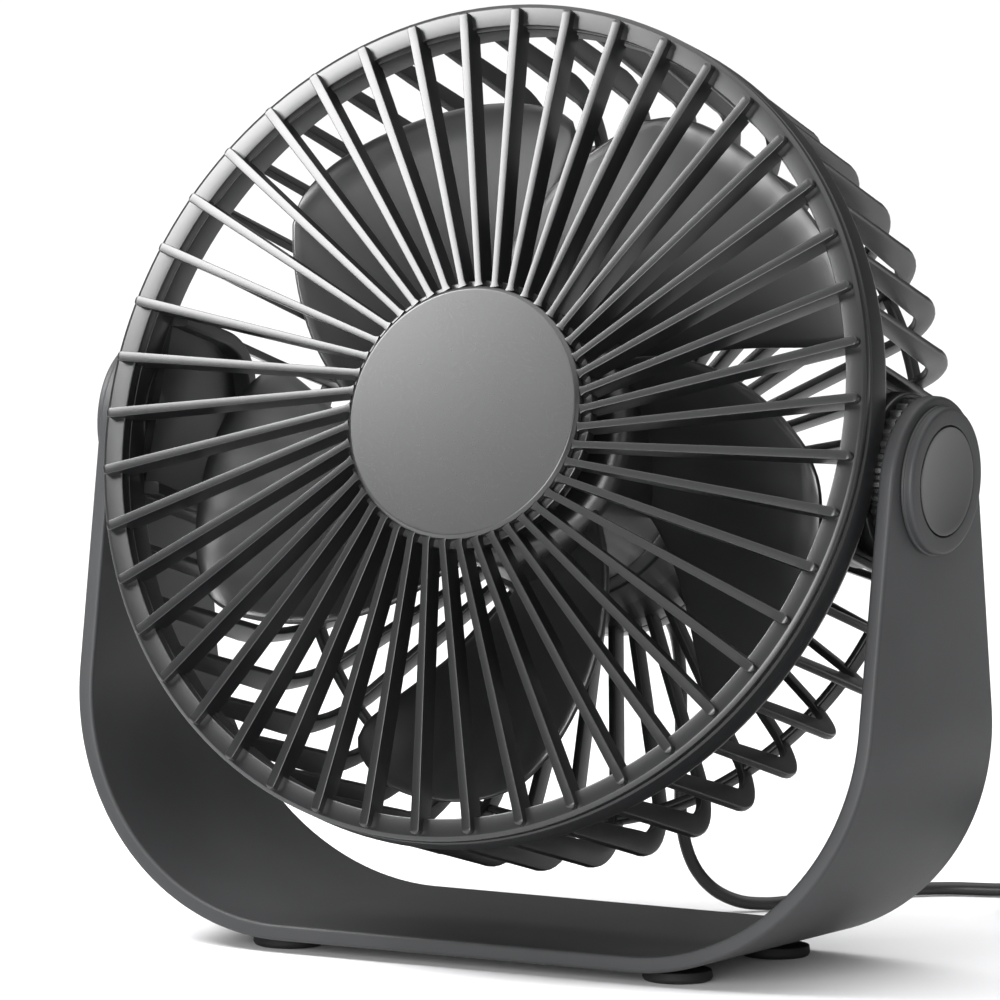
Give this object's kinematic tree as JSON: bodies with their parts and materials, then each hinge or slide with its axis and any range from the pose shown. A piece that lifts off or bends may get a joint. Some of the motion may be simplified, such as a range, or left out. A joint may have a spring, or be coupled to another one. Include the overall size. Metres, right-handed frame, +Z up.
{
  "type": "desk fan",
  "caption": "USB desk fan with a round ribbed grille head that tilts in a bent U-shaped stand, with a coiled cord and plug.",
  "frame": {"origin": "middle of the fan's width and depth, on the surface it stands on", "axes": "+Z up, +X to the right seen from the front, the front of the grille towards -Y"},
  "size_m": [0.2039, 0.1774, 0.1873],
  "materials": {
    "housing": "fine satin charcoal",
    "grille": "satin black",
    "blade": "semi-gloss charcoal",
    "rubber": "matte black",
    "steel": "bright",
    "brass": "bright",
    "magnet": "dark ferrite",
    "core": "varnished laminations",
    "board": "green solder mask",
    "button": "satin black",
    "lens": "frosted",
    "cord": "soft satin black",
    "insulator": "white"
  },
  "bodies": {
    "stand": {"stand_bracket": "housing", "foot_front_left": "rubber", "foot_front_right": "rubber", "foot_rear_left": "rubber", "foot_rear_right": "rubber", "pivot_cap_left": "housing", "pivot_cap_right": "housing", "cap_disc_left": "housing", "cap_disc_right": "housing", "cord": "cord", "cord_coil": "cord", "coil_tie": "rubber", "cord_tail": "cord", "plug_overmould": "rubber", "plug_shell": "steel", "plug_tongue": "insulator", "plug_contact_1": "brass", "plug_contact_2": "brass", "plug_contact_3": "brass", "plug_contact_4": "brass"},
    "head": {"rear_cage": "grille", "front_grille": "grille", "front_disc": "housing", "detent_ring_left": "grille", "detent_ring_right": "grille", "pivot_screw_left": "steel", "pivot_screw_right": "steel", "rear_cover": "grille", "cover_screw_1": "steel", "cover_screw_2": "steel", "cover_screw_3": "steel", "cord_strain_relief": "rubber", "indicator_lens": "lens", "control_board": "board", "push_switch": "steel", "motor_can": "steel", "motor_end_bell": "insulator", "front_bushing": "brass", "rear_bushing": "brass", "magnet_left": "magnet", "magnet_right": "magnet", "brush_left": "brass", "brush_right": "brass", "motor_screw_1": "steel", "motor_screw_2": "steel", "cord_lead": "cord"},
    "impeller": {"impeller": "blade", "motor_shaft": "steel", "rotor_core": "core", "commutator": "brass"},
    "button": {"power_button": "button"}
  },
  "joints": [
    {"name": "head_tilt", "type": "hinge", "parent": "stand", "child": "head", "pos_m": [0, -0.00282, 0.1002], "axis": [-1, 0, 0], "range_deg": [-64, 71]},
    {"name": "impeller_spin", "type": "hinge", "parent": "head", "child": "impeller", "pos_m": [0, -0.00282, 0.1002], "axis": [0, -0.9449, 0.3272], "continuous": true},
    {"name": "button_press", "type": "slide", "parent": "head", "child": "button", "axis": [0, -0.9449, 0.3272], "range_m": [0, 0.0012], "stiffness_N_per_m": 400, "springref_m": -0.0005}
  ]
}
